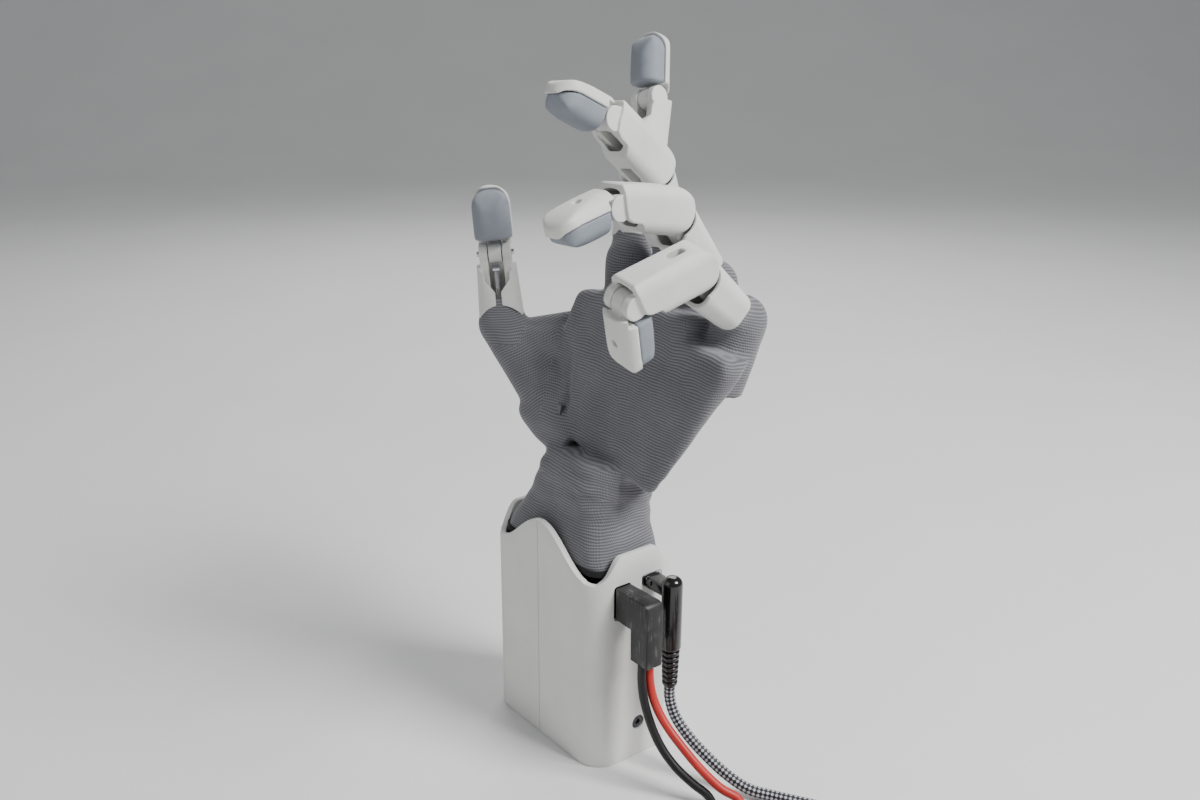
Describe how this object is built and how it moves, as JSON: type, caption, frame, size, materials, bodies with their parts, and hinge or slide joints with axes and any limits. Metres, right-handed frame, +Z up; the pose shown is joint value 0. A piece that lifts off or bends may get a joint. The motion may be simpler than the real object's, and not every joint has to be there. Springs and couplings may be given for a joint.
{
  "type": "prosthetic hand",
  "caption": "Left prosthetic hand with jointed fingers and opposed thumb in a knit sleeve, standing on a wrist housing with a power lead and a data cable.",
  "frame": {"origin": "middle of the wrist housing's underside, on the table", "axes": "+Z up along the hand, the palm faces -Y, the little finger and the sockets are on the +X side"},
  "size_m": [0.2711, 0.1399, 0.2857],
  "materials": {
    "white_shell": "fine-textured warm white nylon",
    "pad_rubber": "matt blue-grey silicone rubber",
    "knit": "mid-grey ribbed stretch knit",
    "black_plastic": "black moulded plastic",
    "steel": "polished steel",
    "alloy": "machined aluminium alloy",
    "board": "green circuit board",
    "red_silicone": "glossy red silicone wire",
    "black_silicone": "satin black silicone wire",
    "braid": "black and white woven braid"
  },
  "bodies": {
    "housing": {"housing_ulnar_shell": "white_shell", "housing_radial_shell": "white_shell", "base_plate": "black_plastic", "collar_gasket": "black_plastic", "housing_screw": "steel", "power_socket": "black_plastic", "usb_socket": "steel", "controller_board": "board", "flexion_motor": "alloy", "deviation_motor": "alloy", "wrist_post": "alloy", "sleeve_cuff": "knit", "power_plug": "black_plastic", "usb_plug": "black_plastic", "power_lead_black": "black_silicone", "power_lead_red": "red_silicone", "usb_cable": "braid", "power_coil_black": "black_silicone", "power_coil_red": "red_silicone", "usb_coil": "braid", "power_end_connector": "black_plastic", "usb_end_plug": "black_plastic"},
    "wrist": {"wrist_cross": "steel", "sleeve_neck": "knit"},
    "palm": {"sleeve_palm": "knit", "palm_frame": "alloy", "drive_index": "alloy", "drive_middle": "alloy", "drive_ring": "alloy", "drive_pinky": "alloy"},
    "index_proximal": {"index_proximal_shell": "white_shell"},
    "index_middle": {"index_middle_shell": "white_shell", "index_knuckle_pin": "steel"},
    "index_tip": {"index_nail_shell": "white_shell", "index_tip_pad": "pad_rubber"},
    "middle_proximal": {"middle_proximal_shell": "white_shell"},
    "middle_middle": {"middle_middle_shell": "white_shell", "middle_knuckle_pin": "steel"},
    "middle_tip": {"middle_nail_shell": "white_shell", "middle_tip_pad": "pad_rubber"},
    "ring_proximal": {"ring_proximal_shell": "white_shell"},
    "ring_middle": {"ring_middle_shell": "white_shell", "ring_knuckle_pin": "steel"},
    "ring_tip": {"ring_nail_shell": "white_shell", "ring_tip_pad": "pad_rubber"},
    "pinky_proximal": {"pinky_proximal_shell": "white_shell"},
    "pinky_middle": {"pinky_middle_shell": "white_shell", "pinky_knuckle_pin": "steel"},
    "pinky_tip": {"pinky_nail_shell": "white_shell", "pinky_tip_pad": "pad_rubber"},
    "thumb_root": {"thumb_metacarpal": "alloy", "sleeve_thumb": "knit"},
    "thumb_proximal": {"thumb_proximal_shell": "white_shell", "thumb_push_rod": "steel", "thumb_tip_pin": "steel"},
    "thumb_tip": {"thumb_nail_shell": "white_shell", "thumb_tip_pad": "pad_rubber"}
  },
  "joints": [
    {"name": "wrist_deviation", "type": "hinge", "parent": "housing", "child": "wrist", "pos_m": [0.0035, 0.0035, 0.111], "axis": [-0.0523, 0.9986, 0], "range_deg": [-20, 15]},
    {"name": "wrist_flexion", "type": "hinge", "parent": "wrist", "child": "palm", "pos_m": [0.0035, 0.0035, 0.111], "axis": [0.9973, 0.0523, -0.0523], "range_deg": [-15, 35]},
    {"name": "index_knuckle", "type": "hinge", "parent": "palm", "child": "index_proximal", "pos_m": [-0.0127, 0.0344, 0.19613], "axis": [-0.9697, -0.1082, -0.2189], "range_deg": [-100, 2]},
    {"name": "index_middle_joint", "type": "hinge", "parent": "index_proximal", "child": "index_middle", "pos_m": [-0.02293, 0.04929, 0.23405], "axis": [0.9697, 0.1082, 0.2189], "range_deg": [-1.5, 86.5]},
    {"name": "index_tip_joint", "type": "hinge", "parent": "index_middle", "child": "index_tip", "pos_m": [-0.02948, 0.0582, 0.25868], "axis": [0.9697, 0.1082, 0.2189], "range_deg": [-7, 88]},
    {"name": "middle_knuckle", "type": "hinge", "parent": "palm", "child": "middle_proximal", "pos_m": [0.00975, 0.03956, 0.19921], "axis": [-0.994, -0.0793, -0.0756], "range_deg": [-58, 44]},
    {"name": "middle_middle_joint", "type": "hinge", "parent": "middle_proximal", "child": "middle_middle", "pos_m": [0.00792, 0.02501, 0.23857], "axis": [0.994, 0.0793, 0.0756], "range_deg": [-30.5, 57.5]},
    {"name": "middle_tip_joint", "type": "hinge", "parent": "middle_middle", "child": "middle_tip", "pos_m": [0.00828, 0.00415, 0.2557], "axis": [0.994, 0.0793, 0.0756], "range_deg": [-15, 80]},
    {"name": "ring_knuckle", "type": "hinge", "parent": "palm", "child": "ring_proximal", "pos_m": [0.03255, 0.03873, 0.19333], "axis": [-0.998, -0.0632, 0.0011], "range_deg": [-37, 65]},
    {"name": "ring_middle_joint", "type": "hinge", "parent": "ring_proximal", "child": "ring_middle", "pos_m": [0.03433, 0.01123, 0.22502], "axis": [0.998, 0.0632, -0.0011], "range_deg": [-41, 47]},
    {"name": "ring_tip_joint", "type": "hinge", "parent": "ring_middle", "child": "ring_tip", "pos_m": [0.03602, -0.01546, 0.22877], "axis": [0.998, 0.0632, -0.0011], "range_deg": [-22, 73]},
    {"name": "pinky_knuckle", "type": "hinge", "parent": "palm", "child": "pinky_proximal", "pos_m": [0.05394, 0.03308, 0.18445], "axis": [-0.9751, -0.015, 0.2212], "range_deg": [-24, 78]},
    {"name": "pinky_middle_joint", "type": "hinge", "parent": "pinky_proximal", "child": "pinky_middle", "pos_m": [0.05995, -0.00068, 0.2087], "axis": [0.9751, 0.015, -0.2212], "range_deg": [-53, 29]},
    {"name": "pinky_tip_joint", "type": "hinge", "parent": "pinky_middle", "child": "pinky_tip", "pos_m": [0.05863, -0.02656, 0.20113], "axis": [0.9751, 0.015, -0.2212], "range_deg": [-92, 3]},
    {"name": "thumb_rotation", "type": "hinge", "parent": "palm", "child": "thumb_root", "pos_m": [-0.02702, -0.00066, 0.1367], "axis": [0.0402, 0.2103, 0.9768], "range_deg": [-25, 30]},
    {"name": "thumb_knuckle", "type": "hinge", "parent": "thumb_root", "child": "thumb_proximal", "pos_m": [-0.0482, -0.00504, 0.1682], "axis": [0.6016, 0.7941, 0.0864], "range_deg": [-8, 30]},
    {"name": "thumb_tip_joint", "type": "hinge", "parent": "thumb_proximal", "child": "thumb_tip", "pos_m": [-0.0515, -0.00578, 0.19801], "axis": [0.6016, 0.7941, 0.0864], "range_deg": [-3, 65]}
  ]
}
